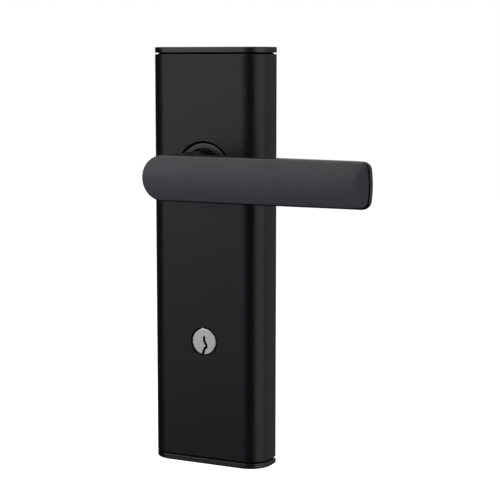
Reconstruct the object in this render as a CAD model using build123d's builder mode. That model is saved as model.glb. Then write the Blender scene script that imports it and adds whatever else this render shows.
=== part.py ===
"""Outside unit of a long-plate lever lockset, with its lever, return spring and key cylinder.

The origin is on the lever's turning axis, in the plane of the door's face. +X runs along the
lever, +Y goes into the door, and +Z is up. Places along Y are given as distances forward of
the door, so a forward distance f lies at y = -f.
"""

import os
from math import asin, cos, degrees, radians, sin

from build123d import *

# Plate: the channel that forms the body, and its two end caps
plate_width = 61.3
plate_depth = 17.0
plate_top = 59.4
plate_bottom = -143.4
corner_radius = 10.8
wall = 2.0
cap_thickness = 2.7
cap_gap = 0.7
cap_gap_depth = 1.2
cap_edge_radius = 0.5
cap_body_height = 10.0
cap_body_clearance = 0.15
cap_pocket_width = 26.0
cap_pocket_depth = 10.0
cap_floor = 1.5
rebate_depth = 3.0
rebate_width = 0.8

# Back plate and gasket, both in the channel's rebate
back_plate_thickness = 2.0
gasket_thickness = 1.0
rebate_clearance = 0.1
spindle_opening_radius = 6.6
gasket_opening_radius = 9.0
gasket_play = 1.0
opening_play = 0.2

# Lever
lever_length = 101.4
lever_radius = 10.4
lever_tip_drop = 10.1
lever_front = 58.0
lever_hub_thickness = 13.0
lever_tip_thickness = 5.5
lever_taper_start = 11.0
lever_tip_radius = 3.9
lever_tip_bulge = 0.4
lever_edge_radius = 0.6
lever_back_edge_radius = 1.0
neck_radius = 10.3
journal_radius = 9.0
neck_shoulder = 15.5
neck_end = 6.8
neck_chamfer = 0.3
spindle_width = 8.0
spindle_back = -48.0
spindle_socket_end = 34.0
spindle_play = 0.1
set_screw_forward = 27.0
set_screw_radius = 2.5
set_screw_start = 9.6
set_screw_socket_radius = 1.45
set_screw_socket_depth = 2.5
thread_room = 0.05

# Bush around the lever's neck
bush_hole_radius = 14.7
bush_radius = 14.0
bush_recess_radius = 11.3
bush_recess_floor = 14.2
bush_flange_radius = 18.0
bush_flange_back = 12.7
bush_barrel_radius = 12.7
bush_barrel_back = 10.0
bush_bevel_width = 0.7
bush_bevel_depth = 0.5
bush_inner_chamfer = 0.2
running_clearance = 0.05
seal_thickness = 0.8
seal_clearance = 0.05
seal_bore_room = 0.25
cylinder_seal_thickness = 1.2

# Circlip in the neck's groove, and the washer in front of it
groove_radius = 8.2
groove_back_edge = 8.0
groove_front_edge = 9.15
circlip_back = 8.05
circlip_thickness = 1.0
circlip_bore_radius = 8.25
circlip_radius = 10.4
circlip_ear_radius = 1.4
circlip_ear_hole_radius = 0.6
circlip_first_ear_angle = -106
circlip_ear_spread = 32
circlip_mouth_width = 3.2
washer_front = 9.8
washer_radius = 12.0
washer_play = 0.1

# Spring hub
hub_back = 4.4
hub_radius = 12.0
lug_arm_radius = 11.0
lug_arm_front = 6.4
lug_front = 9.2

# Return spring cassette
cassette_radius = 22.0
cassette_wall = 1.5
cassette_base = 1.1
cassette_front = 11.7
cassette_lobe_angles = (30, 150, 270)
cassette_lobe_centre = 24.6
cassette_lobe_radius = 3.2
lever_travel = 45.0
lug_half_angle = 6.0
lug_inner_radius = 17.0
lug_outer_radius = 19.6
stop_play = 0.6
stop_width_angle = 9.0
stop_front = 11.3
stop_edge_room = 0.5
cassette_bore_radius = 7.0
cover_play = 0.3
spring_radius = 15.0
spring_wire_radius = 0.7
spring_bend = 2.0
leg_contact_radius = 18.0
leg_reach = 19.2
spring_rear = 7.5
spring_front = 10.4

# Key cylinder
cylinder_height = -82.4
plug_radius = 6.35
plug_hole_radius = 7.1
plug_edge_chamfer = 0.3
plug_flange_radius = 6.9
plug_flange_back = 13.6
plug_flange_front = 14.6
plug_flange_room = 0.4
shell_radius = 9.2
shell_back = -14.0
shell_recess_floor = 13.4
bible_width = 8.0
bible_height = 14.5
keyway_width = 1.15
keyway_back = -12.0
nib_width = 1.8
nib_height = 1.2
nib_back = 16.4
nib_middle = (-0.9, 6.05)
chamber_count = 5
chamber_pitch = 4.0
chamber_first = 9.5
chamber_radius = 1.5
pin_radius = 1.4
driver_length = 4.0
tail_bar_back = -52.0
tail_bar_thickness = 1.6
tail_bar_width = 5.6
tail_head_width = 8.4
tail_head_front = -14.9
tail_slot_play = 0.1
retainer_radius = 7.4
retainer_back = -18.2
retainer_bore_radius = 3.1

# Fasteners
screw_radius = 1.5
screw_head_radius = 2.9
thread_play = 0.05
screw_socket_radius = 1.1
screw_socket_depth = 1.0
cap_screw_offset = 19.0
cap_screw_inset = 5.0
cap_screw_front = 9.0
clamp_screw_offset = 12.0
clamp_screw_drop = 7.0
clamp_head_radius = 2.8
clamp_head_height = 1.9
clamp_head_chamfer = 0.5
clamp_thickness = 2.0
clamp_width = 32.0
clamp_height = 20.0
clamp_corner_radius = 2.0
post_radius = 4.0
post_tap_radius = 2.1
post_back = -20.0
post_tap_front = -2.0
post_rivet_radius = 3.45
post_flange_radius = 5.5
post_flange_thickness = 1.2
post_chamfer = 0.4
post_heights = (38.0, -116.0)

# Places that follow from the sizes above
wall_front = plate_depth
wall_back = plate_depth - wall
plate_middle = (plate_top + plate_bottom) / 2
channel_top = plate_top - cap_thickness - cap_gap
channel_bottom = plate_bottom + cap_thickness + cap_gap
channel_length = channel_top - channel_bottom
back_plate_back = rebate_depth - back_plate_thickness
back_plate_width = plate_width - 2 * (wall - rebate_width) - 2 * rebate_clearance
back_plate_length = channel_length - 2 * rebate_clearance
cap_screw_places = [
    (side * cap_screw_offset, height)
    for side in (-1, 1)
    for height in (channel_top - cap_screw_inset, channel_bottom + cap_screw_inset)
]
cassette_screw_places = [
    (
        cassette_lobe_centre * cos(radians(angle)),
        cassette_lobe_centre * sin(radians(angle)),
    )
    for angle in cassette_lobe_angles
]
post_places = [(0.0, height) for height in post_heights]
clamp_screw_places = [
    (side * clamp_screw_offset, cylinder_height - clamp_screw_drop) for side in (-1, 1)
]
cylinder_place = (0.0, cylinder_height)
chamber_forwards = [chamber_first - chamber_pitch * i for i in range(chamber_count)]
lug_rest_angle = 90.0 + lever_travel / 2

os.makedirs("parts", exist_ok=True)


def turned(profile, centre=(0.0, 0.0), mode=Mode.ADD):
    """Turn a profile of (radius, forward) points about an axis square to the door."""
    origin = (centre[0], 0, centre[1])
    with BuildSketch(Plane(origin)) as half:
        with BuildLine():
            Polyline([(radius, -forward) for radius, forward in profile], close=True)
        make_face()
    revolve(half.sketch, axis=Axis(origin, (0, 1, 0)), mode=mode)


def round_bar(radius, back, front, centre=(0.0, 0.0), mode=Mode.ADD):
    """A round bar or hole square to the door."""
    turned([(0, back), (radius, back), (radius, front), (0, front)], centre, mode)


def flat_bar(width, height, back, front, centre=(0.0, 0.0), mode=Mode.ADD):
    """A rectangular bar or hole square to the door."""
    with BuildSketch(Plane.XZ.offset(back)) as face:
        with Locations(centre):
            Rectangle(width, height)
    extrude(face.sketch, amount=front - back, mode=mode)


def channel_section(level, inset=0.0, back=0.0):
    """The plate's cross-section at a height, inset on the front and sides, cut off at the back."""
    with BuildSketch(Plane.XY.offset(level)) as section:
        with Locations((0, -back)):
            Rectangle(
                plate_width - 2 * inset,
                plate_depth - inset - back,
                align=(Align.CENTER, Align.MAX),
            )
        fillet(section.vertices().group_by(Axis.Y)[0], radius=corner_radius - inset)
    return section.sketch


def countersunk_screw(centre, front):
    """A countersunk screw from the back plate's rear face, with a hexagonal socket."""
    head_back = back_plate_back + thread_room
    turned(
        [
            (0, head_back),
            (screw_head_radius, head_back),
            (screw_radius - thread_play, head_back + screw_head_radius - screw_radius),
            (screw_radius - thread_play, front),
            (0, front),
        ],
        centre,
    )
    with BuildSketch(Plane.XZ.offset(head_back)) as socket:
        with Locations(centre):
            RegularPolygon(radius=screw_socket_radius, side_count=6)
    extrude(socket.sketch, amount=screw_socket_depth, mode=Mode.SUBTRACT)


def countersunk_hole(centre):
    """The hole that such a screw passes through in the back plate."""
    turned(
        [
            (0, back_plate_back),
            (screw_head_radius + thread_room + 0.05, back_plate_back),
            (screw_radius + thread_room, back_plate_back + screw_head_radius - screw_radius + 0.05),
            (screw_radius + thread_room, rebate_depth),
            (0, rebate_depth),
        ],
        centre,
        Mode.SUBTRACT,
    )


def cylinder_opening(play, back, front):
    """The opening that the cylinder's shell passes through."""
    round_bar(shell_radius + play, back, front, cylinder_place, Mode.SUBTRACT)
    flat_bar(
        bible_width + 2 * play,
        bible_height + play,
        back,
        front,
        (0, cylinder_height + (bible_height + play) / 2),
        Mode.SUBTRACT,
    )


# Housing: an extruded channel with a rebate along both rear edges
with BuildPart() as housing:
    extrude(channel_section(channel_bottom), amount=channel_length)
    extrude(channel_section(channel_bottom, wall), amount=channel_length, mode=Mode.SUBTRACT)
    flat_bar(
        plate_width - 2 * (wall - rebate_width),
        channel_length,
        0,
        rebate_depth,
        (0, (channel_top + channel_bottom) / 2),
        Mode.SUBTRACT,
    )
    round_bar(bush_hole_radius, wall_back, wall_front, mode=Mode.SUBTRACT)
    round_bar(plug_hole_radius, wall_back, wall_front, cylinder_place, Mode.SUBTRACT)

housing.part.label = "housing"
export_step(housing.part, "parts/housing.step")

# End caps: a lid, a narrow shoulder that leaves a shadow line, and a body inside the channel
cap_body_bottom = channel_top - cap_body_height
cap_body_inset = wall + cap_body_clearance

with BuildPart() as top_cap:
    extrude(channel_section(plate_top - cap_thickness), amount=cap_thickness)
    fillet(top_cap.edges().group_by(Axis.Z)[-1], radius=cap_edge_radius)
    extrude(channel_section(channel_top, cap_gap_depth), amount=cap_gap)
    extrude(
        channel_section(cap_body_bottom, cap_body_inset, rebate_depth),
        amount=cap_body_height,
    )
    with BuildSketch(Plane.XY.offset(cap_body_bottom)):
        with Locations((0, -rebate_depth)):
            Rectangle(cap_pocket_width, cap_pocket_depth, align=(Align.CENTER, Align.MAX))
    extrude(amount=cap_body_height - cap_floor, mode=Mode.SUBTRACT)
    for place in cap_screw_places:
        if place[1] > plate_middle:
            round_bar(screw_radius, rebate_depth, cap_screw_front + 0.5, place, Mode.SUBTRACT)

top_cap.part.label = "top_cap"
export_step(top_cap.part, "parts/top_cap.step")

with BuildPart() as bottom_cap:
    mirror(top_cap.part, about=Plane.XY.offset(plate_middle))

bottom_cap.part.label = "bottom_cap"
export_step(bottom_cap.part, "parts/bottom_cap.step")

# Back plate: steel, carries the cassette, the posts and the cylinder
with BuildPart() as back_plate:
    flat_bar(
        back_plate_width,
        back_plate_length,
        back_plate_back,
        rebate_depth,
        (0, plate_middle),
    )
    round_bar(spindle_opening_radius, back_plate_back, rebate_depth, mode=Mode.SUBTRACT)
    cylinder_opening(opening_play, back_plate_back, rebate_depth)
    for place in post_places:
        round_bar(
            post_rivet_radius + thread_room, back_plate_back, rebate_depth, place, Mode.SUBTRACT
        )
    for place in clamp_screw_places:
        round_bar(screw_radius, back_plate_back, rebate_depth, place, Mode.SUBTRACT)
    for place in cap_screw_places + cassette_screw_places:
        countersunk_hole(place)

back_plate.part.label = "back_plate"
export_step(back_plate.part, "parts/back_plate.step")

# Gasket: foam between the back plate and the door
with BuildPart() as gasket:
    flat_bar(back_plate_width, back_plate_length, 0, gasket_thickness, (0, plate_middle))
    round_bar(gasket_opening_radius, 0, gasket_thickness, mode=Mode.SUBTRACT)
    cylinder_opening(gasket_play, 0, gasket_thickness)
    for place in post_places:
        round_bar(post_radius + 0.3, 0, gasket_thickness, place, Mode.SUBTRACT)
    for place in cap_screw_places + cassette_screw_places + clamp_screw_places:
        round_bar(screw_head_radius + 0.4, 0, gasket_thickness, place, Mode.SUBTRACT)

gasket.part.label = "gasket"
export_step(gasket.part, "parts/gasket.step")

# Cap screws: two into each end cap
with BuildPart() as cap_screws:
    for place in cap_screw_places:
        countersunk_screw(place, cap_screw_front)

cap_screws.part.label = "cap_screws"
export_step(cap_screws.part, "parts/cap_screws.step")

# Fixing posts: riveted in the back plate and tapped for the screws that come through the door
with BuildPart() as fixing_posts:
    for place in post_places:
        turned(
            [
                (post_tap_radius, post_back),
                (post_radius - post_chamfer, post_back),
                (post_radius, post_back + post_chamfer),
                (post_radius, back_plate_back),
                (post_rivet_radius, back_plate_back),
                (post_rivet_radius, rebate_depth),
                (post_flange_radius, rebate_depth),
                (post_flange_radius, rebate_depth + post_flange_thickness),
                (0, rebate_depth + post_flange_thickness),
                (0, post_tap_front),
                (post_tap_radius, post_tap_front),
            ],
            place,
        )

fixing_posts.part.label = "fixing_posts"
export_step(fixing_posts.part, "parts/fixing_posts.step")

# Lever bush: nose in the plate's hole, flange behind the wall, barrel inside the spring
with BuildPart() as lever_bush:
    turned(
        [
            (bush_recess_radius + bush_inner_chamfer, wall_front),
            (bush_radius - bush_bevel_width, wall_front),
            (bush_radius, wall_front - bush_bevel_depth),
            (bush_radius, wall_back),
            (bush_flange_radius, wall_back),
            (bush_flange_radius, bush_flange_back),
            (bush_barrel_radius, bush_flange_back),
            (bush_barrel_radius, bush_barrel_back),
            (journal_radius + running_clearance, bush_barrel_back),
            (journal_radius + running_clearance, bush_recess_floor),
            (bush_recess_radius, bush_recess_floor),
            (bush_recess_radius, wall_front - bush_inner_chamfer),
        ]
    )

lever_bush.part.label = "lever_bush"
export_step(lever_bush.part, "parts/lever_bush.step")

# Neck seal: a soft washer on the floor of the bush's recess
with BuildPart() as neck_seal:
    turned(
        [
            (journal_radius + seal_bore_room, bush_recess_floor),
            (bush_recess_radius - seal_clearance, bush_recess_floor),
            (bush_recess_radius - seal_clearance, bush_recess_floor + seal_thickness),
            (journal_radius + seal_bore_room, bush_recess_floor + seal_thickness),
        ]
    )

neck_seal.part.label = "neck_seal"
export_step(neck_seal.part, "parts/neck_seal.step")

# Lever: a flat bar, thick at the hub and thin at the tip, with a round neck behind the hub
lever_back = lever_front - lever_hub_thickness

with BuildPart() as lever:
    with BuildSketch(Plane.XZ.offset(lever_back)) as bar:
        with BuildLine():
            CenterArc((0, 0), lever_radius, 90, 180)
            top_edge = Line((0, lever_radius), (lever_length - lever_tip_bulge, lever_radius))
            tip = ThreePointArc(
                top_edge @ 1,
                (lever_length, (lever_radius - lever_tip_drop) / 2),
                (lever_length - lever_tip_bulge, -lever_tip_drop),
            )
            Line(tip @ 1, (0, -lever_radius))
        make_face()
        fillet(bar.vertices().group_by(Axis.X)[-1], radius=lever_tip_radius)
    extrude(amount=lever_hub_thickness)
    with BuildSketch(Plane.XY.offset(-lever_radius - 1)):
        with BuildLine():
            Polyline(
                (lever_taper_start, -lever_back),
                (lever_length + 1, lever_tip_thickness - lever_front),
                (lever_length + 1, -lever_back),
                close=True,
            )
        make_face()
    extrude(amount=2 * lever_radius + 2, mode=Mode.SUBTRACT)
    fillet(lever.edges().group_by(Axis.Y)[0], radius=lever_edge_radius)
    taper_face = lever.faces().filter_by(lambda face: face.normal_at().Y > 0.5).sort_by(Axis.X)[-1]
    fillet(taper_face.edges().sort_by(Axis.X)[1:], radius=lever_back_edge_radius)
    round_bar(neck_radius, neck_shoulder, lever_back)
    turned(
        [
            (0, neck_end),
            (journal_radius - neck_chamfer, neck_end),
            (journal_radius, neck_end + neck_chamfer),
            (journal_radius, groove_back_edge),
            (groove_radius, groove_back_edge),
            (groove_radius, groove_front_edge),
            (journal_radius, groove_front_edge),
            (journal_radius, neck_shoulder),
            (0, neck_shoulder),
        ]
    )
    flat_bar(
        spindle_width + spindle_play,
        spindle_width + spindle_play,
        neck_end,
        spindle_socket_end,
        mode=Mode.SUBTRACT,
    )
    with BuildSketch(Plane.XY.offset(-lever_radius - 1)):
        with Locations((0, -set_screw_forward)):
            Circle(set_screw_radius + thread_room)
    extrude(amount=lever_radius + 1 - spindle_width / 2, mode=Mode.SUBTRACT)

lever.part.label = "lever"
export_step(lever.part, "parts/lever.step")

# Lever set screw: under the neck, bears on the spindle
with BuildPart() as lever_set_screw:
    with BuildSketch(Plane.XY.offset(-set_screw_start)):
        with Locations((0, -set_screw_forward)):
            Circle(set_screw_radius)
    extrude(amount=set_screw_start - spindle_width / 2)
    with BuildSketch(Plane.XY.offset(-set_screw_start)):
        with Locations((0, -set_screw_forward)):
            RegularPolygon(radius=set_screw_socket_radius, side_count=6)
    extrude(amount=set_screw_socket_depth, mode=Mode.SUBTRACT)

lever_set_screw.part.label = "lever_set_screw"
export_step(lever_set_screw.part, "parts/lever_set_screw.step")

# Spindle: square bar from the lever's neck to the lock in the door
with BuildPart() as spindle:
    flat_bar(spindle_width, spindle_width, spindle_back, spindle_socket_end - 0.2)
    chamfer(spindle.edges().group_by(Axis.Y)[-1], length=1.0)
    chamfer(spindle.edges().filter_by(Axis.Y), length=0.4)

spindle.part.label = "spindle"
export_step(spindle.part, "parts/spindle.step")

# Thrust washer and circlip: hold the neck in the bush
with BuildPart() as thrust_washer:
    turned(
        [
            (journal_radius + washer_play, groove_front_edge),
            (washer_radius, groove_front_edge),
            (washer_radius, washer_front),
            (journal_radius + washer_play, washer_front),
        ]
    )

thrust_washer.part.label = "thrust_washer"
export_step(thrust_washer.part, "parts/thrust_washer.step")

with BuildPart() as lever_circlip:
    with BuildSketch(Plane.XZ.offset(circlip_back)):
        Circle(circlip_radius)
        with PolarLocations(
            circlip_radius,
            2,
            start_angle=circlip_first_ear_angle,
            angular_range=circlip_ear_spread,
        ):
            Circle(circlip_ear_radius)
            Circle(circlip_ear_hole_radius, mode=Mode.SUBTRACT)
        Circle(circlip_bore_radius, mode=Mode.SUBTRACT)
        Rectangle(
            circlip_mouth_width,
            2 * circlip_radius,
            align=(Align.CENTER, Align.MAX),
            mode=Mode.SUBTRACT,
        )
    extrude(amount=circlip_thickness)

lever_circlip.part.label = "lever_circlip"
export_step(lever_circlip.part, "parts/lever_circlip.step")


def sector(inner_radius, outer_radius, middle_angle, half_angle, back, front):
    """A piece of a ring between two radii, about the lever's axis."""
    reach = 2 * outer_radius
    first = radians(middle_angle - half_angle)
    last = radians(middle_angle + half_angle)
    with BuildSketch(Plane.XZ.offset(back)) as piece:
        Circle(outer_radius)
        Circle(inner_radius, mode=Mode.SUBTRACT)
        with BuildLine():
            Polyline(
                (0, 0),
                (reach * cos(first), reach * sin(first)),
                (reach * cos(last), reach * sin(last)),
                close=True,
            )
        make_face(mode=Mode.INTERSECT)
    extrude(piece.sketch, amount=front - back)


# Spring hub: turns with the spindle and carries the lug that the spring pushes
with BuildPart() as spring_hub:
    round_bar(hub_radius, hub_back, neck_end)
    sector(
        lug_arm_radius, lug_outer_radius, lug_rest_angle, lug_half_angle, hub_back, lug_arm_front
    )
    sector(
        lug_inner_radius, lug_outer_radius, lug_rest_angle, lug_half_angle, hub_back, lug_front
    )
    flat_bar(
        spindle_width + spindle_play,
        spindle_width + spindle_play,
        hub_back,
        neck_end,
        mode=Mode.SUBTRACT,
    )

spring_hub.part.label = "spring_hub"
export_step(spring_hub.part, "parts/spring_hub.step")

# Spring cassette: a cast cup with two stops for the lug and three screw lobes
stop_offset = lug_half_angle + stop_play + stop_width_angle / 2
rest_stop_angle = lug_rest_angle + stop_offset
travel_stop_angle = lug_rest_angle - lever_travel - stop_offset

with BuildPart() as spring_cassette:
    with BuildSketch(Plane.XZ.offset(rebate_depth)):
        Circle(cassette_radius)
        with Locations(*cassette_screw_places):
            Circle(cassette_lobe_radius)
    extrude(amount=cassette_front - rebate_depth)
    round_bar(
        cassette_radius - cassette_wall,
        rebate_depth + cassette_base,
        cassette_front,
        mode=Mode.SUBTRACT,
    )
    round_bar(
        cassette_bore_radius, rebate_depth, rebate_depth + cassette_base, mode=Mode.SUBTRACT
    )
    for stop_angle in (rest_stop_angle, travel_stop_angle):
        sector(
            lug_inner_radius,
            cassette_radius - stop_edge_room,
            stop_angle,
            stop_width_angle / 2,
            rebate_depth,
            stop_front,
        )
    for place in cassette_screw_places:
        round_bar(
            screw_radius + thread_room, rebate_depth, cassette_front, place, Mode.SUBTRACT
        )

spring_cassette.part.label = "spring_cassette"
export_step(spring_cassette.part, "parts/spring_cassette.step")

# Cassette cover: a plate that the cassette screws are tapped into
with BuildPart() as cassette_cover:
    with BuildSketch(Plane.XZ.offset(cassette_front)):
        Circle(cassette_radius)
        with Locations(*cassette_screw_places):
            Circle(cassette_lobe_radius)
        Circle(bush_barrel_radius + cover_play, mode=Mode.SUBTRACT)
        with Locations(*cassette_screw_places):
            Circle(screw_radius, mode=Mode.SUBTRACT)
    extrude(amount=bush_flange_back - cassette_front)

cassette_cover.part.label = "cassette_cover"
export_step(cassette_cover.part, "parts/cassette_cover.step")

with BuildPart() as cassette_screws:
    for place in cassette_screw_places:
        countersunk_screw(place, bush_flange_back)

cassette_screws.part.label = "cassette_screws"
export_step(cassette_screws.part, "parts/cassette_screws.step")

# Return spring: about two turns around the bush's barrel, one leg on the lug, one on a stop
leg_offset_angle = degrees(asin(spring_bend / leg_contact_radius))
leg_contact_angle = degrees(asin((spring_wire_radius + 0.1) / leg_contact_radius))
coil_start_angle = lug_rest_angle - lug_half_angle - leg_contact_angle + leg_offset_angle
coil_end_angle = (
    travel_stop_angle + stop_width_angle / 2 + leg_contact_angle - leg_offset_angle
)
spring_turns = 2 + (coil_end_angle - coil_start_angle) / 360
spring_rise = spring_front - spring_rear


def outward(angle):
    """The direction away from the lever's axis at an angle from +X towards +Z."""
    return Vector(cos(radians(angle)), 0, sin(radians(angle)))


def spring_leg(start, along, away):
    """A bend out of the coil and a straight leg that points away from the axis."""
    middle = start + along * spring_bend * sin(radians(45))
    middle += away * spring_bend * (1 - cos(radians(45)))
    bend_end = start + (along + away) * spring_bend
    return [
        ThreePointArc(start, middle, bend_end),
        Line(bend_end, bend_end + away * (leg_reach - spring_radius - spring_bend)),
    ]


coil_plane = Plane(
    origin=(0, -spring_rear, 0), x_dir=outward(coil_start_angle), z_dir=(0, -1, 0)
)
coil = coil_plane.location * Helix(
    pitch=spring_rise / spring_turns,
    height=spring_rise,
    radius=spring_radius,
)
moving_leg = spring_leg(coil @ 0, coil % 0 * -1, outward(coil_start_angle))
fixed_leg = spring_leg(coil @ 1, coil % 1, outward(coil_end_angle))
spring_line = Wire([*moving_leg, coil, *fixed_leg])

with BuildPart() as return_spring:
    with BuildSketch(Plane(origin=spring_line @ 0, z_dir=spring_line % 0)) as wire_section:
        Circle(spring_wire_radius)
    sweep(wire_section.sketch, path=spring_line)

return_spring.part.label = "return_spring"
export_step(return_spring.part, "parts/return_spring.step")

# Cylinder shell: round body, square pin tower and a groove for the clamp
tower_top = cylinder_height + bible_height
strip_height = 1.2
strip_width = 4.4
groove_depth = 1.0
groove_back = rebate_depth - 0.05
groove_front = rebate_depth + 2.05

with BuildPart() as cylinder_shell:
    round_bar(shell_radius, shell_back, wall_back, cylinder_place)
    flat_bar(
        bible_width,
        bible_height,
        shell_back,
        wall_back,
        (0, cylinder_height + bible_height / 2),
    )
    fillet(cylinder_shell.edges().group_by(Axis.Z)[-1].filter_by(Axis.Y), radius=1.0)
    round_bar(
        plug_radius + running_clearance, shell_back, wall_back, cylinder_place, Mode.SUBTRACT
    )
    round_bar(
        plug_flange_radius + plug_flange_room,
        shell_recess_floor,
        wall_back,
        cylinder_place,
        Mode.SUBTRACT,
    )
    with BuildSketch(Plane.XZ.offset(groove_back)):
        with Locations(cylinder_place):
            Circle(shell_radius + 0.5)
            Circle(shell_radius - groove_depth, mode=Mode.SUBTRACT)
        with Locations((0, cylinder_height + 5.2)):
            Rectangle(30, 20, align=(Align.CENTER, Align.MIN), mode=Mode.SUBTRACT)
    extrude(amount=groove_front - groove_back, mode=Mode.SUBTRACT)
    with BuildSketch(Plane.XY.offset(cylinder_height + plug_radius - 1)):
        with Locations(*[(0, -forward) for forward in chamber_forwards]):
            Circle(chamber_radius)
    extrude(amount=bible_height - plug_radius + 1, mode=Mode.SUBTRACT)
    flat_bar(
        strip_width,
        strip_height,
        shell_back + 1.5,
        wall_back - 1.5,
        (0, tower_top - strip_height / 2),
        Mode.SUBTRACT,
    )

cylinder_shell.part.label = "cylinder_shell"
export_step(cylinder_shell.part, "parts/cylinder_shell.step")

# Chamber strip: closes the top of the pin chambers
with BuildPart() as chamber_strip:
    flat_bar(
        strip_width,
        strip_height,
        shell_back + 1.5,
        wall_back - 1.5,
        (0, tower_top - strip_height / 2),
    )

chamber_strip.part.label = "chamber_strip"
export_step(chamber_strip.part, "parts/chamber_strip.step")

# Cylinder seal: a dark ring in the plate's hole, set back from the front
with BuildPart() as cylinder_seal:
    turned(
        [
            (plug_radius + 2 * seal_clearance, wall_back),
            (plug_hole_radius - seal_clearance, wall_back),
            (plug_hole_radius - seal_clearance, wall_back + cylinder_seal_thickness),
            (plug_radius + 2 * seal_clearance, wall_back + cylinder_seal_thickness),
        ],
        cylinder_place,
    )

cylinder_seal.part.label = "cylinder_seal"
export_step(cylinder_seal.part, "parts/cylinder_seal.step")

# Plug: the part that the key turns, with its keyway, pin chambers and a slot for the tail bar
plug_back = shell_back - 0.15
stub_radius = 5.0
stub_back = -17.2
keyway_line = [
    (0.05, 2.75),
    (0.00, 0.80),
    (0.60, -0.60),
    (1.30, -1.90),
    (1.25, -2.65),
    (0.30, -3.30),
    (-0.10, -4.40),
    (-0.30, -5.10),
    (-1.00, -7.20),
]

with BuildPart() as plug:
    turned(
        [
            (0, wall_front),
            (plug_radius - plug_edge_chamfer, wall_front),
            (plug_radius, wall_front - plug_edge_chamfer),
            (plug_radius, plug_flange_front),
            (plug_flange_radius, plug_flange_front),
            (plug_flange_radius, plug_flange_back),
            (plug_radius, plug_flange_back),
            (plug_radius, plug_back),
            (stub_radius, plug_back),
            (stub_radius, stub_back),
            (0, stub_back),
        ],
        cylinder_place,
    )
    flat_bar(
        nib_width,
        nib_height,
        nib_back,
        wall_front,
        (nib_middle[0], cylinder_height + nib_middle[1]),
    )
    with BuildSketch(Plane.XZ.offset(keyway_back)):
        with BuildLine():
            Polyline([(x, cylinder_height + z) for x, z in keyway_line])
        trace(line_width=keyway_width)
    extrude(amount=wall_front - keyway_back, mode=Mode.SUBTRACT)
    with BuildSketch(Plane.XY.offset(cylinder_height + 1.0)):
        with Locations(*[(0, -forward) for forward in chamber_forwards]):
            Circle(chamber_radius)
    extrude(amount=plug_radius, mode=Mode.SUBTRACT)
    flat_bar(
        tail_head_width + 2 * tail_slot_play,
        tail_bar_thickness + tail_slot_play,
        stub_back,
        tail_head_front + 2 * tail_slot_play,
        cylinder_place,
        Mode.SUBTRACT,
    )

plug.part.label = "plug"
export_step(plug.part, "parts/plug.step")

# Plug retainer: a cap screwed on the plug's rear stub
with BuildPart() as plug_retainer:
    turned(
        [
            (stub_radius + thread_room, shell_back - opening_play),
            (retainer_radius, shell_back - opening_play),
            (retainer_radius, retainer_back),
            (retainer_bore_radius, retainer_back),
            (retainer_bore_radius, stub_back - thread_room),
            (stub_radius + thread_room, stub_back - thread_room),
        ],
        cylinder_place,
    )

plug_retainer.part.label = "plug_retainer"
export_step(plug_retainer.part, "parts/plug_retainer.step")

# Tail bar: flat bar that the plug turns, with a cross head behind the retainer
with BuildPart() as tail_bar:
    head_back = stub_back + tail_slot_play
    flat_bar(tail_head_width, tail_bar_thickness, head_back, tail_head_front, cylinder_place)
    flat_bar(tail_bar_width, tail_bar_thickness, tail_bar_back, head_back, cylinder_place)

tail_bar.part.label = "tail_bar"
export_step(tail_bar.part, "parts/tail_bar.step")

# Pins: one stack in each chamber, parted where the plug meets the shell
key_pin_lengths = [3.4, 4.2, 3.8, 4.6, 3.6]
key_pin_top = plug_radius - 0.2
driver_pin_bottom = plug_radius + 0.1
driver_pin_top = driver_pin_bottom + driver_length


def pin(forward, bottom, top):
    """A round pin standing in the chamber at a forward distance."""
    with BuildSketch(Plane.XY.offset(cylinder_height + bottom)) as section:
        with Locations((0, -forward)):
            Circle(pin_radius)
    extrude(section.sketch, amount=top - bottom)


with BuildPart() as key_pins:
    for forward, length in zip(chamber_forwards, key_pin_lengths):
        pin(forward, key_pin_top - length, key_pin_top)

key_pins.part.label = "key_pins"
export_step(key_pins.part, "parts/key_pins.step")

with BuildPart() as driver_pins:
    for forward in chamber_forwards:
        pin(forward, driver_pin_bottom, driver_pin_top)

driver_pins.part.label = "driver_pins"
export_step(driver_pins.part, "parts/driver_pins.step")

# Pin springs: a small coil over each driver pin
pin_spring_wire = 0.18
pin_spring_turns = 4
pin_spring_bottom = cylinder_height + driver_pin_top + pin_spring_wire
pin_spring_height = tower_top - strip_height - pin_spring_wire - pin_spring_bottom
pin_spring_lines = [
    Location((0, -forward, pin_spring_bottom))
    * Helix(
        pitch=pin_spring_height / pin_spring_turns,
        height=pin_spring_height,
        radius=1.05,
    )
    for forward in chamber_forwards
]

with BuildPart() as pin_springs:
    for line in pin_spring_lines:
        with BuildSketch(Plane(origin=line @ 0, z_dir=line % 0)) as wire_section:
            Circle(pin_spring_wire)
        sweep(wire_section.sketch, path=line)

pin_springs.part.label = "pin_springs"
export_step(pin_springs.part, "parts/pin_springs.step")

# Cylinder clamp: a horseshoe plate in the shell's groove
with BuildPart() as cylinder_clamp:
    with BuildSketch(Plane.XZ.offset(rebate_depth)):
        with Locations((0, cylinder_height - 5.0)):
            RectangleRounded(clamp_width, clamp_height, clamp_corner_radius)
        with Locations(cylinder_place):
            Circle(shell_radius - groove_depth + 0.05, mode=Mode.SUBTRACT)
            Rectangle(
                2 * (shell_radius - groove_depth + 0.05),
                12.0,
                align=(Align.CENTER, Align.MIN),
                mode=Mode.SUBTRACT,
            )
        with Locations(*clamp_screw_places):
            Circle(screw_radius + 0.1, mode=Mode.SUBTRACT)
    extrude(amount=clamp_thickness)

cylinder_clamp.part.label = "cylinder_clamp"
export_step(cylinder_clamp.part, "parts/cylinder_clamp.step")

clamp_head_back = rebate_depth + clamp_thickness
clamp_head_front = clamp_head_back + clamp_head_height

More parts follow.
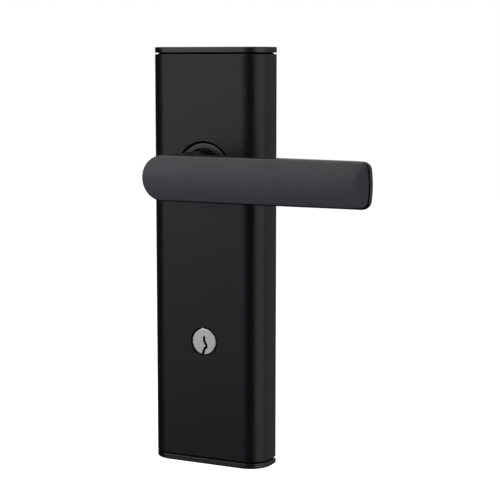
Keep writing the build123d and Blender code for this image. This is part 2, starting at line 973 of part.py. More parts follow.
with BuildPart() as clamp_screws:
    for place in clamp_screw_places:
        turned(
            [
                (0, back_plate_back + opening_play),
                (screw_radius - thread_play, back_plate_back + opening_play),
                (screw_radius - thread_play, clamp_head_back),
                (clamp_head_radius, clamp_head_back),
                (clamp_head_radius, clamp_head_front - clamp_head_chamfer),
                (clamp_head_radius - clamp_head_chamfer, clamp_head_front),
                (0, clamp_head_front),
            ],
            place,
        )

clamp_screws.part.label = "clamp_screws"
export_step(clamp_screws.part, "parts/clamp_screws.step")
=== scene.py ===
"""Looks of the outside unit of a long-plate lever lockset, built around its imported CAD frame."""

from math import cos, pi, radians, sin, tan

import bmesh
import bpy
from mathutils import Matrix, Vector


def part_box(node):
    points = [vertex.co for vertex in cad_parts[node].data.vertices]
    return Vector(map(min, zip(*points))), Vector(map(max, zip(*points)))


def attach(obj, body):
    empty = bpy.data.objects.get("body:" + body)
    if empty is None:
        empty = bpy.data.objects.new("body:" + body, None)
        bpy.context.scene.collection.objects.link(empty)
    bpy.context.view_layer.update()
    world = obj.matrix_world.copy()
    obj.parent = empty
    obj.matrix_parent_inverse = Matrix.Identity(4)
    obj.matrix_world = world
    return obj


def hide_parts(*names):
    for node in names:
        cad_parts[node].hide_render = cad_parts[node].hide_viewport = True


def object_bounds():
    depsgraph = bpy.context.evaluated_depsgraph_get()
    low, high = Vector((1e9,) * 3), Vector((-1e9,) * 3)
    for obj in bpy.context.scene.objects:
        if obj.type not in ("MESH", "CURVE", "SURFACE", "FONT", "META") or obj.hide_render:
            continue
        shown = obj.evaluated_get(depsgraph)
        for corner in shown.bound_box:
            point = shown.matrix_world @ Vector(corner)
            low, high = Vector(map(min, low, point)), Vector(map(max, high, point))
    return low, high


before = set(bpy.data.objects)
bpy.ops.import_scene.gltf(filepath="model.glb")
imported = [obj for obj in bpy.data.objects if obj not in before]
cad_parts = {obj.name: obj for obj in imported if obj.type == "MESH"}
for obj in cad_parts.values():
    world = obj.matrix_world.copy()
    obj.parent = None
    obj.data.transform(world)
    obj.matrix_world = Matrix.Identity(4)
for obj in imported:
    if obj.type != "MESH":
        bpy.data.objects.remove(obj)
cad_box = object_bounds()

# ---------------------------------------------------------------------------------------------
# Camera: a long lens, to the lever's tip side of the plate and a little above the lever. Its
# turn, tilt and roll are in radians.

MM = 0.001
camera_turn = 0.4537
camera_tilt = 0.1295
camera_roll = -0.0005

camera_data = bpy.data.cameras.new("camera")
camera_data.sensor_width = 36.0
camera_data.lens = 104.56
camera_data.clip_start = 0.05
camera_data.clip_end = 30.0
camera = bpy.data.objects.new("camera", camera_data)
camera.location = Vector((323.9, -630.5, 52.8)) * MM
camera.rotation_euler = (pi / 2 - camera_tilt, camera_roll, camera_turn)
bpy.context.scene.collection.objects.link(camera)
bpy.context.scene.camera = camera

# ---------------------------------------------------------------------------------------------
# Studio: a pale floor well below the unit, a white surround behind it, and soft boxes. The
# surround lights nothing itself, so that the black coats stay as dark as they are.


def to_linear(hex_colour):
    """An sRGB hex colour as linear red, green, blue and alpha."""
    parts = [int(hex_colour[i : i + 2], 16) / 255 for i in (1, 3, 5)]
    return (*[p / 12.92 if p <= 0.04045 else ((p + 0.055) / 1.055) ** 2.4 for p in parts], 1.0)


def add_node(tree, kind, settings=None, links=None):
    """Adds a node, sets its properties or sockets by name or number, and links its inputs."""
    node = tree.nodes.new(kind)
    for name, value in (settings or {}).items():
        if isinstance(name, str) and hasattr(node, name):
            setattr(node, name, value)
        else:
            node.inputs[name].default_value = value
    for name, source in (links or {}).items():
        tree.links.new(source, node.inputs[name])
    return node


bpy.context.scene.view_settings.view_transform = "Standard"

world = bpy.data.worlds.new("studio")
bpy.context.scene.world = world
world.use_nodes = True
world.node_tree.nodes.clear()
seen_by = add_node(world.node_tree, "ShaderNodeLightPath")
surround = add_node(world.node_tree, "ShaderNodeBackground", {"Color": to_linear("#ffffff")})
room = add_node(
    world.node_tree,
    "ShaderNodeBackground",
    {"Color": to_linear("#c8ccd2"), "Strength": 0.03},
)
either = add_node(
    world.node_tree,
    "ShaderNodeMixShader",
    links={
        0: seen_by.outputs["Is Camera Ray"],
        1: room.outputs["Background"],
        2: surround.outputs["Background"],
    },
)
add_node(world.node_tree, "ShaderNodeOutputWorld", links={"Surface": either.outputs["Shader"]})

floor_reach = 6.0
floor_drop = 0.25
floor_level = cad_box[0].z - floor_drop
floor_corners = ((-1, -1), (1, -1), (1, 1), (-1, 1))
floor_mesh = bpy.data.meshes.new("floor")
floor_mesh.from_pydata(
    [(x * floor_reach, y * floor_reach, floor_level) for x, y in floor_corners], [], [(0, 1, 2, 3)]
)
floor = bpy.data.objects.new("floor", floor_mesh)
bpy.context.scene.collection.objects.link(floor)
floor.visible_glossy = False
floor.visible_diffuse = False
floor_paint = bpy.data.materials.new("white_floor_paint")
floor_paint.use_nodes = True
floor_paint.node_tree.nodes.clear()
floor_glow = add_node(
    floor_paint.node_tree,
    "ShaderNodeBsdfPrincipled",
    {
        "Base Color": to_linear("#f2f2f0"),
        "Roughness": 0.9,
        "Emission Color": to_linear("#ffffff"),
        "Emission Strength": 1.0,
    },
)
add_node(
    floor_paint.node_tree,
    "ShaderNodeOutputMaterial",
    links={"Surface": floor_glow.outputs["BSDF"]},
)
floor_mesh.materials.append(floor_paint)

light_distance = 1.6
light_aim = Vector((0, 0, -0.04))


def add_soft_box(name, azimuth, elevation, width, height, radiance, colour="#ffffff"):
    """A soft box that faces the unit, spanning angles of width and height in degrees.

    Azimuth 0 is in front of the plate, and 90 is beyond the lever's tip.
    """
    data = bpy.data.lights.new(name, "AREA")
    data.shape = "RECTANGLE"
    data.size = 2 * light_distance * tan(radians(width / 2))
    data.size_y = 2 * light_distance * tan(radians(height / 2))
    data.energy = radiance * pi * data.size * data.size_y
    data.color = to_linear(colour)[:3]
    a = radians(azimuth)
    e = radians(elevation)
    away = Vector((sin(a) * cos(e), -cos(a) * cos(e), sin(e)))
    lamp = bpy.data.objects.new(name, data)
    lamp.location = light_aim + away * light_distance
    lamp.rotation_euler = away.to_track_quat("Z", "Y").to_euler()
    lamp.visible_camera = False
    bpy.context.scene.collection.objects.link(lamp)


add_soft_box("key_box", -36, 21, 42, 48, 1.06)
add_soft_box("key_fill", -6, 21, 18, 48, 0.40)
add_soft_box("upper_box", -30, 60, 60, 30, 1.5)
add_soft_box("floor_bounce", -30, -10, 60, 14, 0.52, "#edf1ff")
add_soft_box("floor_low", -30, -27, 60, 20, 0.11, "#edf1ff")
add_soft_box("tip_box", 74, 8, 52, 70, 0.86)
add_soft_box("far_box", 123, 8, 46, 80, 0.38)
add_soft_box("side_box", 164, 8, 34, 80, 0.19)
add_soft_box("rear_box", 190, 56, 70, 40, 0.6)
add_soft_box("back_box", 207, 4, 50, 60, 0.38)

# ---------------------------------------------------------------------------------------------
# Housing: an aluminium channel, extruded with round front corners and milled for the bush and
# the plug. It is powder coated in matt black and takes the caps, posts and back plate inside.

plate_low, plate_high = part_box("housing")
plug_low, plug_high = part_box("plug")
plate_half_width = plate_high.x
plate_front = plate_low.y
plug_height = (plug_low.z + plug_high.z) / 2
corner_radius = 10.8 * MM
channel_wall = 2.0 * MM
rebate_width = 0.8 * MM
rebate_depth = 3.0 * MM
bush_hole_radius = 14.7 * MM
plug_hole_radius = 7.1 * MM
channel_edge = 0.22 * MM
corner_steps = 20
hole_steps = 128


def plate_outline(inset, back=0.0):
    """The plate's outline seen from above, inset on the front and sides, as x and y points."""
    reach = plate_half_width - inset
    radius = corner_radius - inset
    points = [(-reach, -back)]
    for side, start in ((-1, pi), (1, 1.5 * pi)):
        centre_x = side * (plate_half_width - corner_radius)
        centre_y = plate_front + corner_radius
        for step in range(corner_steps + 1):
            angle = start + step * pi / 2 / corner_steps
            points.append((centre_x + radius * cos(angle), centre_y + radius * sin(angle)))
    points.append((reach, -back))
    return points


def channel_loop(z):
    """The channel's closed section at a height: outside, then back along the inside."""
    inside = plate_outline(channel_wall, rebate_depth)
    lip = plate_half_width - channel_wall + rebate_width
    section = plate_outline(0.0) + [(lip, 0.0), (lip, -rebate_depth)]
    section += reversed(inside)
    section += [(-lip, -rebate_depth), (-lip, 0.0)]
    return [(x, y, z) for x, y in section]


def round_loop(radius, y, centre=(0.0, 0.0), count=96):
    """A circle of points square to the door, about an axis through (x, z)."""
    turns = [2 * pi * i / count for i in range(count)]
    return [(centre[0] + radius * cos(t), y, centre[1] + radius * sin(t)) for t in turns]


def loft(model, loops, closed_ends=True):
    """Skins a stack of loops that have the same number of points, and closes both ends."""
    rings = [[model.verts.new(point) for point in loop] for loop in loops]
    count = len(rings[0])
    for lower, upper in zip(rings, rings[1:]):
        for i in range(count):
            j = (i + 1) % count
            model.faces.new((lower[i], lower[j], upper[j], upper[i]))
    if closed_ends:
        model.faces.new(reversed(rings[0]))
        model.faces.new(rings[-1])
    return rings


def finished_mesh(name, model, sharp_angle=35.0):
    """Turns a bmesh into a smooth mesh with sharp edges past an angle."""
    bmesh.ops.recalc_face_normals(model, faces=model.faces)
    mesh = bpy.data.meshes.new(name)
    model.to_mesh(mesh)
    model.free()
    mesh.polygons.foreach_set("use_smooth", [True] * len(mesh.polygons))
    mesh.set_sharp_from_angle(angle=radians(sharp_angle))
    return mesh


def cut_away(piece_mesh, tool_mesh):
    """The first mesh with the second one's shape cut out of it."""
    body = bpy.data.objects.new("cut_body", piece_mesh)
    tool = bpy.data.objects.new("cut_tool", tool_mesh)
    for item in (body, tool):
        bpy.context.scene.collection.objects.link(item)
    cut = body.modifiers.new("cut", "BOOLEAN")
    cut.operation = "DIFFERENCE"
    cut.solver = "EXACT"
    cut.object = tool
    bpy.context.view_layer.update()
    result = bpy.data.meshes.new_from_object(
        body.evaluated_get(bpy.context.evaluated_depsgraph_get())
    )
    for item in (body, tool):
        bpy.data.objects.remove(item)
    return result


def soften(mesh, width, segments=3, angle=35.0):
    """Rounds a mesh's hard edges by a small radius, and weights its normals to the flat faces."""
    holder = bpy.data.objects.new("soften", mesh)
    bpy.context.scene.collection.objects.link(holder)
    rounding = holder.modifiers.new("rounding", "BEVEL")
    rounding.width = width
    rounding.segments = segments
    rounding.limit_method = "ANGLE"
    rounding.angle_limit = radians(angle)
    weighting = holder.modifiers.new("weighting", "WEIGHTED_NORMAL")
    weighting.mode = "FACE_AREA"
    bpy.context.view_layer.update()
    result = bpy.data.meshes.new_from_object(
        holder.evaluated_get(bpy.context.evaluated_depsgraph_get())
    )
    bpy.data.objects.remove(holder)
    return result


def make_finish(name, dark, light, metallic, roughness, grain_mm, depth_mm, patch_mm=24.0):
    """A surface whose grain varies its colour and relief, and whose patches vary its gloss.

    The grain is as long as grain_mm says along x, y and z, and depth_mm deep. The patches are
    patch_mm wide, and move the roughness a little to both sides.
    """
    glossiest = roughness - 0.04
    dullest = roughness + 0.05
    material = bpy.data.materials.new(name)
    material.use_nodes = True
    tree = material.node_tree
    tree.nodes.clear()
    where = add_node(tree, "ShaderNodeTexCoord").outputs["Object"]
    stretched = add_node(
        tree,
        "ShaderNodeMapping",
        {"Scale": [1 / (size * MM) for size in grain_mm]},
        {"Vector": where},
    )
    grain = add_node(
        tree,
        "ShaderNodeTexNoise",
        {"Scale": 1.0, "Detail": 3.0, "Roughness": 0.6},
        {"Vector": stretched.outputs["Vector"]},
    )
    patches = add_node(
        tree,
        "ShaderNodeTexNoise",
        {"Scale": 1 / (patch_mm * MM), "Detail": 4.0, "Roughness": 0.6},
        {"Vector": where},
    )
    tint = add_node(
        tree,
        "ShaderNodeMix",
        {"data_type": "RGBA", 6: to_linear(dark), 7: to_linear(light)},
        {0: grain.outputs["Fac"]},
    )
    gloss = add_node(
        tree,
        "ShaderNodeMapRange",
        {"From Min": 0.3, "From Max": 0.7, "To Min": glossiest, "To Max": dullest},
        {"Value": patches.outputs["Fac"]},
    )
    relief = add_node(
        tree,
        "ShaderNodeBump",
        {"Strength": 1.0, "Distance": depth_mm * MM},
        {"Height": grain.outputs["Fac"]},
    )
    shader = add_node(
        tree,
        "ShaderNodeBsdfPrincipled",
        {"Metallic": metallic},
        {
            "Base Color": tint.outputs[2],
            "Roughness": gloss.outputs["Result"],
            "Normal": relief.outputs["Normal"],
        },
    )
    add_node(tree, "ShaderNodeOutputMaterial", links={"Surface": shader.outputs["BSDF"]})
    return material


def new_piece(name, mesh, body, slot, material, *replaced):
    """Links a mesh as a piece of the object, on its body, with its material; slot is not used."""
    piece = bpy.data.objects.new(name, mesh)
    bpy.context.scene.collection.objects.link(piece)
    mesh.materials.clear()
    mesh.materials.append(material)
    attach(piece, body)
    if replaced:
        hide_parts(*replaced)


# Matt polyester powder: a dense near-black film whose fine peel spreads each reflection wide.
matt_black_powder = make_finish(
    "matt_black_powder_coat", "#0c0c0d", "#101011", 0.0, 0.34, (0.9, 0.9, 0.9), 0.002, 28.0
)

channel_model = bmesh.new()
loft(channel_model, [channel_loop(plate_low.z), channel_loop(plate_high.z)])
channel_mesh = finished_mesh("channel", channel_model)
for hole_radius, hole_height in ((bush_hole_radius, 0.0), (plug_hole_radius, plug_height)):
    drill_model = bmesh.new()
    drill_ends = (plate_front - channel_wall, plate_front + 2 * channel_wall)
    hole_centre = (0.0, hole_height)
    loft(drill_model, [round_loop(hole_radius, y, hole_centre, hole_steps) for y in drill_ends])
    channel_mesh = cut_away(channel_mesh, finished_mesh("drill", drill_model))
channel_mesh = soften(channel_mesh, channel_edge)
new_piece("plate_channel", channel_mesh, "plate", "plate_coat", matt_black_powder, "housing")

# ---------------------------------------------------------------------------------------------
# End caps: zinc castings with a lid, a narrow shoulder that leaves a shadow line against the
# channel, and a body that is screwed inside it. Plated in satin black nickel.

cap_edge_radius = 0.5 * MM
cap_shoulder_inset = 1.2 * MM
cap_body_inset = 2.15 * MM
cap_shoulder_top_inset = cap_body_inset - 0.1 * MM
cap_gap = 0.7 * MM
lid_break = 0.12 * MM
lid_side_start = 2.5 * lid_break
lid_side_end = 1.3 * cap_edge_radius
cap_edge_steps = 5

# Satin black nickel on a rubbed casting: dark grey, with faint lines and a soft wide shine.
# The real lines are about 0.1 mm apart, and are drawn coarser so that they show.
black_nickel_cap = make_finish(
    "black_nickel_cap", "#48484a", "#505052", 1.0, 0.34, (9.0, 0.6, 0.6), 0.001
)

for cap_name, upward in (("top_cap", 1), ("bottom_cap", -1)):
    cap_low, cap_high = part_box(cap_name)
    outer_end, inner_end = (cap_high.z, cap_low.z) if upward > 0 else (cap_low.z, cap_high.z)
    channel_end = plate_high.z if upward > 0 else plate_low.z
    lid_start = channel_end + upward * cap_gap
    levels = [
        (inner_end, cap_body_inset, rebate_depth),
        (channel_end, cap_body_inset, rebate_depth),
        (channel_end, cap_shoulder_inset, 0.0),
        (lid_start, cap_shoulder_top_inset, 0.0),
        (lid_start, lid_break, 0.0),
        (lid_start + upward * lid_break, 0.0, 0.0),
        (lid_start + upward * lid_side_start, 0.0, 0.0),
        (outer_end - upward * lid_side_end, 0.0, 0.0),
    ]
    for step in range(cap_edge_steps + 1):
        turn = step * pi / 2 / cap_edge_steps
        drop = cap_edge_radius * (1 - sin(turn))
        inset = cap_edge_radius * (1 - cos(turn))
        levels.append((outer_end - upward * drop, inset, inset))
    cap_model = bmesh.new()
    loft(cap_model, [[(x, y, z) for x, y in plate_outline(i, back)] for z, i, back in levels])
    cap_mesh = finished_mesh(cap_name + "_casting", cap_model, sharp_angle=50.0)
    new_piece(cap_name + "_casting", cap_mesh, "plate", "cap_coat", black_nickel_cap, cap_name)

# ---------------------------------------------------------------------------------------------
# Back plate, gasket and screws: a pressed steel plate that closes the channel, held by four
# screws into the caps, and a foam gasket that keeps water out between the unit and the door.


def give_finish(material, *nodes):
    """Puts a finish on nodes that keep the shapes the CAD frame gives them."""
    for node in nodes:
        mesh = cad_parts[node].data
        mesh.materials.clear()
        mesh.materials.append(material)


# Bright zinc plate on steel: pale blue-grey, with a fine mottle from the plating crystals.
bright_zinc_plate = make_finish(
    "bright_zinc_plate", "#9ea1a3", "#b6b8ba", 1.0, 0.38, (1.5, 1.5, 1.5), 0.004, 8.0
)
# Closed-cell foam: soft dull black with an open pebbled skin that never shines.
closed_cell_foam = make_finish(
    "closed_cell_foam", "#191919", "#2a2a2b", 0.0, 0.9, (0.6, 0.6, 0.6), 0.05, 12.0
)
give_finish(bright_zinc_plate, "back_plate", "cap_screws")
give_finish(closed_cell_foam, "gasket")

# ---------------------------------------------------------------------------------------------
# Fixing posts: two steel pillars turned from bar and riveted to the back plate. Screws from the
# inside unit come through the door and into their threads.

# Drawn steel bar: a mid grey with fine lines along the draw and a clean narrow shine. Its lines
# too are drawn coarser than the real 0.1 mm.
drawn_steel = make_finish(
    "drawn_steel", "#8d8e90", "#a3a4a6", 1.0, 0.32, (0.3, 5.0, 0.3), 0.002, 8.0
)
give_finish(drawn_steel, "fixing_posts")

# ---------------------------------------------------------------------------------------------
# Bush: a turned aluminium ring whose nose fills the hole round the lever's neck. Its recess
# hides the neck's shoulder, and a turned relief round the nose keeps a black line beside it.

bush_low, bush_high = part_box("lever_bush")
bush_nose_radius = 14.0 * MM
bush_recess_radius = 11.3 * MM
bush_bore_radius = 9.05 * MM
bush_barrel_radius = 12.7 * MM
bush_flange_radius = bush_high.x
bush_recess_floor = -14.2 * MM
bush_relief_floor = -13.2 * MM
bush_flange_front = -15.0 * MM
bush_flange_back = -12.7 * MM
bush_relief_width = 1.1 * MM
bush_face = bush_low.y

# The nose's two broken edges, in millimetres: how far from its radius, and behind its face.
bush_inner_edge = [(0.0, 0.3), (0.1, 0.1), (0.3, 0.0), (0.4, 0.0)]
bush_outer_edge = [(-0.85, 0.0), (-0.75, 0.0), (-0.6, 0.04), (-0.1, 0.4), (0.0, 0.6)]

bush_profile = [
    (bush_bore_radius, bush_high.y),
    (bush_bore_radius, bush_recess_floor),
    (bush_recess_radius, bush_recess_floor),
    *[(bush_recess_radius + r * MM, bush_face + y * MM) for r, y in bush_inner_edge],
    *[(bush_nose_radius + r * MM, bush_face + y * MM) for r, y in bush_outer_edge],
    (bush_nose_radius, bush_relief_floor),
    (bush_nose_radius + bush_relief_width, bush_flange_front),
    (bush_flange_radius, bush_flange_front),
    (bush_flange_radius, bush_flange_back),
    (bush_barrel_radius, bush_flange_back),
    (bush_barrel_radius, bush_high.y),
]

# Satin black on a turned face: dark grey, with a fine grain that widens its shine, drawn
# coarser than real turning marks.
black_satin_bush = make_finish(
    "black_satin_bush", "#444446", "#4c4c4e", 1.0, 0.34, (0.6, 0.6, 0.6), 0.001
)

bush_model = bmesh.new()
bush_loops = [round_loop(r, y, count=hole_steps) for r, y in bush_profile]
bush_rings = loft(bush_model, bush_loops, closed_ends=False)
first_ring = bush_rings[0]
last_ring = bush_rings[-1]
for i in range(hole_steps):
    j = (i + 1) % hole_steps
    bush_model.faces.new((last_ring[i], last_ring[j], first_ring[j], first_ring[i]))
bush_mesh = finished_mesh("bush_ring", bush_model, sharp_angle=30.0)
new_piece("bush_ring", bush_mesh, "plate", "bush_coat", black_satin_bush, "lever_bush")

# ---------------------------------------------------------------------------------------------
# Neck seal: a washer moulded in nylon, which lies on the floor of the bush's recess, behind the
# neck's shoulder. It keeps water and grit out of the journal.

# Moulded black nylon: slightly waxy, with a low even shine.
black_nylon = make_finish(
    "black_nylon", "#080808", "#0b0b0c", 0.0, 0.6, (0.6, 0.6, 0.6), 0.004, 6.0
)
give_finish(black_nylon, "neck_seal")

# ---------------------------------------------------------------------------------------------
# Lever: one zinc casting, a flat bar that thins towards its tip and a round neck behind the
# hub. Its face is very slightly crowned, rubbed along its length and plated in black nickel.

lever_low, lever_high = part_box("lever")
lever_radius = lever_high.z
lever_tip = lever_high.x
lever_front = lever_low.y
lever_tip_drop = 10.1 * MM
lever_back = -45.0 * MM
lever_tip_back = lever_front + 5.5 * MM
lever_taper_start = 11.0 * MM
lever_tip_radius = 3.9 * MM
lever_end_bulge = 0.4 * MM
lever_crown = 0.30 * MM
face_edge = (0.65 * MM, 2.2 * MM)
face_edge_depth = (0.65 * MM, 0.5 * MM)
back_edge = (1.0 * MM, 3.1 * MM)
tip_edge_start = lever_tip - 9 * MM
tip_edge_run = 7 * MM
neck_radius = 10.3 * MM
neck_front = lever_back - 1.0 * MM
neck_shoulder = -15.5 * MM
journal_radius = 9.0 * MM
groove_radius = 8.2 * MM
groove_front = -9.15 * MM
groove_back = -8.0 * MM
grub_hole_radius = 2.55 * MM
grub_hole_place = -27.0 * MM
grub_hole_low = -12.0 * MM
grub_hole_top = -4.1 * MM
grub_hole_steps = 46
hub_steps = 40
bar_steps = 40
tip_steps = 10
end_steps = 16
crown_rings = 10
edge_steps = 6


def lever_outline():
    """The bar's outline from the front: from the top of the hub, round its end and back."""
    points = []
    for step in range(hub_steps + 1):
        angle = pi / 2 + pi * step / hub_steps
        points.append(Vector((lever_radius * cos(angle), lever_radius * sin(angle))))
    lower_slope = (lever_radius - lever_tip_drop) / lever_tip
    end = lever_tip - lever_end_bulge
    lower_centre = Vector((end - lever_tip_radius, -lever_tip_drop + lever_tip_radius))
    upper_centre = Vector((end - lever_tip_radius, lever_radius - lever_tip_radius))
    for step in range(1, bar_steps):
        x = lower_centre.x * step / bar_steps
        points.append(Vector((x, -lever_radius + lower_slope * x)))
    for step in range(tip_steps + 1):
        angle = -pi / 2 + pi / 2 * step / tip_steps
        points.append(lower_centre + lever_tip_radius * Vector((cos(angle), sin(angle))))
    for step in range(1, end_steps):
        along = step / end_steps
        z = lower_centre.y + along * (upper_centre.y - lower_centre.y)
        points.append(Vector((end + lever_end_bulge * 4 * along * (1 - along), z)))
    for step in range(tip_steps + 1):
        angle = pi / 2 * step / tip_steps
        points.append(upper_centre + lever_tip_radius * Vector((cos(angle), sin(angle))))
    for step in range(1, bar_steps):
        points.append(Vector((upper_centre.x * (1 - step / bar_steps), lever_radius)))
    return points


def outline_normals(points):
    """The outward direction at each point of a closed anticlockwise outline."""
    around = []
    for i, point in enumerate(points):
        along = points[(i + 1) % len(points)] - points[i - 1]
        around.append(Vector((along.y, -along.x)).normalized())
    return around


def bar_back(x):
    """Where the bar's back face lies at a distance from the axis."""
    along = max(0.0, x - lever_taper_start) / (lever_tip - lever_taper_start)
    return lever_back + along * (lever_tip_back - lever_back)


def edge_size(x, sizes):
    """The size of an edge's rounding: the first along the bar, and the second round the tip."""
    along = min(1.0, max(0.0, (x - tip_edge_start) / tip_edge_run))
    return sizes[0] + (sizes[1] - sizes[0]) * along * along * (3 - 2 * along)


bar_outline = lever_outline()
bar_normals = outline_normals(bar_outline)
hub_line_end = lever_tip - lever_radius
bar_loops = []
for ring in range(1, crown_rings + 1):
    share = ring / crown_rings
    loop = []
    for point, normal in zip(bar_outline, bar_normals):
        heart = Vector((min(max(point.x, 0.0), hub_line_end), 0.0))
        inner = point - normal * edge_size(point.x, face_edge)
        place = heart + (inner - heart) * share
        loop.append((place.x, lever_front + lever_crown * share * share, place.y))
    bar_loops.append(loop)
for step in range(1, edge_steps + 1):
    turn = pi / 2 * step / edge_steps
    loop = []
    for point, normal in zip(bar_outline, bar_normals):
        depth = edge_size(point.x, face_edge_depth) * (1 - cos(turn))
        place = point - normal * edge_size(point.x, face_edge) * (1 - sin(turn))
        loop.append((place.x, lever_front + lever_crown + depth, place.y))
    bar_loops.append(loop)
for step in range(edge_steps + 1):
    turn = pi / 2 * step / edge_steps
    loop = []
    for point, normal in zip(bar_outline, bar_normals):
        radius = edge_size(point.x, back_edge)
        place = point - normal * radius * (1 - cos(turn))
        loop.append((place.x, bar_back(place.x) - radius * (1 - sin(turn)), place.y))
    bar_loops.append(loop)
lever_model = bmesh.new()
bar_rings = loft(lever_model, bar_loops, closed_ends=False)
lever_model.faces.new(bar_rings[0])
tapered = [i for i, point in enumerate(bar_outline) if point.x > lever_taper_start]
before_taper = tapered[0] - 1
after_taper = tapered[-1] + 1
back_ring = bar_rings[-1]
lever_model.faces.new(back_ring[:tapered[0]] + back_ring[after_taper:])
lever_model.faces.new(back_ring[before_taper : after_taper + 1])

# The neck's broken edge, in millimetres: how far inside its radius, and before its shoulder.
neck_edge = [(0.0, 0.4), (0.12, 0.12), (0.4, 0.0)]
neck_profile = [
    (neck_radius, neck_front),
    *[(neck_radius - r * MM, neck_shoulder - y * MM) for r, y in neck_edge],
    (journal_radius, neck_shoulder),
    (journal_radius, groove_front),
    (groove_radius, groove_front),
    (groove_radius, groove_back),
    (journal_radius, groove_back),
    (journal_radius, lever_high.y),
]
neck_model = bmesh.new()
loft(neck_model, [round_loop(r, y) for r, y in neck_profile])
grub_model = bmesh.new()
grub_ring = round_loop(grub_hole_radius, 0.0, count=grub_hole_steps)
grub_ends = (grub_hole_low, grub_hole_top)
loft(grub_model, [[(x, grub_hole_place + z, end) for x, _, z in grub_ring] for end in grub_ends])
neck_mesh = cut_away(finished_mesh("neck", neck_model), finished_mesh("grub_hole", grub_model))
lever_model.from_mesh(neck_mesh)
lever_mesh = finished_mesh("lever_casting", lever_model, sharp_angle=38.0)

# Satin black nickel rubbed along the bar: a dark metal with long faint lines and a smooth shine.
# The lines are drawn 0.5 mm wide, coarser than the real ones, so that they show.
black_nickel_lever = make_finish(
    "black_nickel_lever", "#4a4a4d", "#525254", 1.0, 0.22, (14.0, 0.5, 0.5), 0.0008
)
new_piece("lever_casting", lever_mesh, "lever", "lever_coat", black_nickel_lever, "lever")

# ---------------------------------------------------------------------------------------------
# Lever set screw and spindle: a socket set screw through the neck holds the lever to an 8 mm
# square steel bar, which goes through the door and turns the latch.

# Black oxide on steel: a thin oiled black with a dull metal shine.
black_oxide_steel = make_finish(
    "black_oxide_steel", "#1f1f20", "#2c2c2d", 1.0, 0.45, (0.5, 0.5, 0.5), 0.003, 3.0
)
give_finish(black_oxide_steel, "lever_set_screw")
give_finish(drawn_steel, "spindle")

# ---------------------------------------------------------------------------------------------
# Behind the bush: a washer and a snap ring keep the neck in place, and a steel follower on the
# journal winds the return spring. The ring and the spring are hardened spring steel.

# Oil-tempered spring steel: a brown-grey heat colour with fine lines along the wire.
oil_tempered_wire = make_finish(
    "oil_tempered_wire", "#4a4742", "#5c5853", 1.0, 0.4, (0.6, 0.6, 0.6), 0.002, 6.0
)
give_finish(drawn_steel, "thrust_washer", "spring_hub")
give_finish(oil_tempered_wire, "lever_circlip", "return_spring")

# ---------------------------------------------------------------------------------------------
# Spring cassette: a die-cast zinc housing for the follower and its spring, closed by a pressed
# steel cover and held to the bush's flange by three countersunk screws.

# As-cast zinc: a flat light grey with a fine chilled skin.
die_cast_zinc = make_finish(
    "die_cast_zinc", "#8b8d8e", "#a5a7a8", 1.0, 0.5, (0.6, 0.6, 0.6), 0.01, 10.0
)
give_finish(die_cast_zinc, "spring_cassette")
give_finish(bright_zinc_plate, "cassette_cover", "cassette_screws")

# ---------------------------------------------------------------------------------------------
# Cylinder shell: a brass casting, bored for the plug and the pin chambers and nickel plated.
# A small index nib on the rim, at the top of the plug, marks where the key goes in and out.

plug_face = plug_low.y
nib_outline = [(-1.8, 5.9), (0.0, 5.9), (-0.15, 6.62), (-1.6, 6.5)]
nib_sink = 0.3 * MM
nib_length = 0.3 * MM
nib_edge = 0.06 * MM

# Nickel plate on cast brass: a warm light grey, with a slight waviness under the plating.
nickel_plated_brass = make_finish(
    "nickel_plated_brass", "#aaa69b", "#c2beb4", 1.0, 0.34, (0.5, 0.5, 0.5), 0.003, 6.0
)
# Satin nickel plate on a turned face: bright and slightly warm, blurred by fine tool marks that
# are drawn coarser than real so that they show.
satin_nickel_plate = make_finish(
    "satin_nickel_plate", "#e9e6e1", "#f4f2ee", 1.0, 0.36, (0.35, 0.35, 0.35), 0.002, 3.0
)
give_finish(nickel_plated_brass, "cylinder_shell")

nib_model = bmesh.new()
nib_ends = (plug_face + nib_sink + nib_length, plug_face + nib_sink)
loft(nib_model, [[(x * MM, y, plug_height + z * MM) for x, z in nib_outline] for y in nib_ends])
nib_mesh = soften(finished_mesh("index_nib", nib_model), nib_edge, segments=2)
new_piece("index_nib", nib_mesh, "plate", "satin_nickel", satin_nickel_plate)

# ---------------------------------------------------------------------------------------------
# Cylinder seal: a thin ring moulded in nylon, which sits in the plate's hole round the plug, a
# little behind the front. It closes the gap between them, and shows as a dark line.

give_finish(black_nylon, "cylinder_seal")

# ---------------------------------------------------------------------------------------------
# Plug: turned brass, satin nickel plated, with a bent keyway broached from end to end. From
# just below the face inward it is painted nearly black, as painted shade in the deep slot.

plug_radius = 6.35 * MM
plug_stub_length = 3 * MM
plug_axis = (0.0, plug_height)
plug_edge_break = 0.08 * MM
keyway_length = 29.0 * MM
keyway_lead = 1 * MM
# How far behind the face the painted shade in the keyway begins, and where it is full.
keyway_shade_start = 0.1 * MM
keyway_shade_full = 0.9 * MM

# The keyway's width and its middle line about the plug's axis, from top to bottom, are in
# millimetres.
keyway_width = 1.25
keyway_line = [
    (0.05, 2.75),
    (0.00, 0.80),
    (0.60, -0.60),
    (1.30, -1.90),
    (1.25, -2.65),
    (0.30, -3.30),
    (-0.10, -4.40),
    (-0.30, -5.10),
    (-1.00, -7.20),
]
# The face's rounded edge, in millimetres: how far inside the plug's radius, and behind its face.
plug_edge = [(0.0, 0.35), (0.08, 0.14), (0.22, 0.03), (0.4, 0.0)]
plug_profile = [
    (plug_radius, plug_high.y - plug_stub_length),
    *[(plug_radius - r * MM, plug_face + y * MM) for r, y in plug_edge],
]


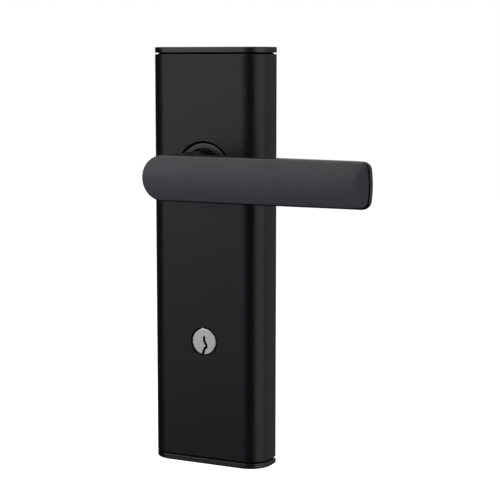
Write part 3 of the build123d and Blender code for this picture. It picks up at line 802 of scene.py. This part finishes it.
def keyway_outline():
    """The keyway's closed outline about the plug's axis, offset both ways from its middle line."""
    middle = [Vector(point) for point in keyway_line]
    left = []
    right = []
    for i, point in enumerate(middle):
        before = middle[max(i - 1, 0)]
        after = middle[min(i + 1, len(middle) - 1)]
        along = (after - before).normalized()
        across = Vector((-along.y, along.x)) * keyway_width / 2
        left.append(point + across)
        right.append(point - across)
    return left + right[::-1]


plug_model = bmesh.new()
loft(plug_model, [round_loop(r, y, plug_axis, hole_steps) for r, y in plug_profile])
keyway_model = bmesh.new()
keyway_ends = (plug_face - keyway_lead, plug_face + keyway_length)
loft(
    keyway_model,
    [[(x * MM, y, plug_height + z * MM) for x, z in keyway_outline()] for y in keyway_ends],
)
plug_mesh = cut_away(finished_mesh("plug", plug_model), finished_mesh("keyway", keyway_model))
plug_mesh = soften(plug_mesh, plug_edge_break, segments=2, angle=50.0)

# The same satin nickel, painted nearly black from just below the face: painted shade in the slot.
plug_nickel = satin_nickel_plate.copy()
plug_nickel.name = "satin_nickel_with_painted_keyway_shade"
plug_tree = plug_nickel.node_tree
plug_shader = next(n for n in plug_tree.nodes if n.type == "BSDF_PRINCIPLED")
plug_place = next(n for n in plug_tree.nodes if n.type == "TEX_COORD").outputs["Object"]
plug_axes = add_node(plug_tree, "ShaderNodeSeparateXYZ", links={"Vector": plug_place})
below_face = add_node(
    plug_tree,
    "ShaderNodeMapRange",
    {"From Min": plug_face + keyway_shade_start, "From Max": plug_face + keyway_shade_full},
    {"Value": plug_axes.outputs["Y"]},
)
painted_keyway_shade = add_node(
    plug_tree,
    "ShaderNodeMix",
    {"data_type": "RGBA", 7: to_linear("#15130f")},
    {0: below_face.outputs["Result"], 6: plug_shader.inputs["Base Color"].links[0].from_socket},
)
plug_tree.links.new(painted_keyway_shade.outputs[2], plug_shader.inputs["Base Color"])
new_piece("plug_barrel", plug_mesh, "plug", "satin_nickel", plug_nickel, "plug")

# ---------------------------------------------------------------------------------------------
# Behind the plug: a screwed retainer keeps it in the shell and drives a flat steel tail bar,
# which reaches through the door to the lock case.

give_finish(nickel_plated_brass, "plug_retainer")
give_finish(drawn_steel, "tail_bar")

# ---------------------------------------------------------------------------------------------
# Pins: turned brass key pins in the plug and driver pins above them, each pair pushed down by
# a coiled spring under a nickel-plated strip that is staked over the chambers.

# Turned brass: warm yellow, with a fine grain from the tool and a crisp shine.
turned_brass = make_finish(
    "turned_brass", "#b08e47", "#c9a75c", 1.0, 0.3, (0.4, 0.4, 0.4), 0.002, 3.0
)
give_finish(turned_brass, "key_pins", "driver_pins")
give_finish(oil_tempered_wire, "pin_springs")
give_finish(nickel_plated_brass, "chamber_strip")

# ---------------------------------------------------------------------------------------------
# Cylinder clamp: a strap folded from zinc-plated steel, which goes over the cylinder's shell
# and holds it to the back plate with two screws.

give_finish(bright_zinc_plate, "cylinder_clamp", "clamp_screws")

# ---------------------------------------------------------------------------------------------
# Hidden nodes: where a detailed piece stands for a node of the CAD frame, the node isn't seen.
# It takes the piece's finish all the same, so that no node is left without a material.

give_finish(matt_black_powder, "housing")
give_finish(black_nickel_cap, "top_cap", "bottom_cap")
give_finish(black_satin_bush, "lever_bush")
give_finish(black_nickel_lever, "lever")
give_finish(plug_nickel, "plug")
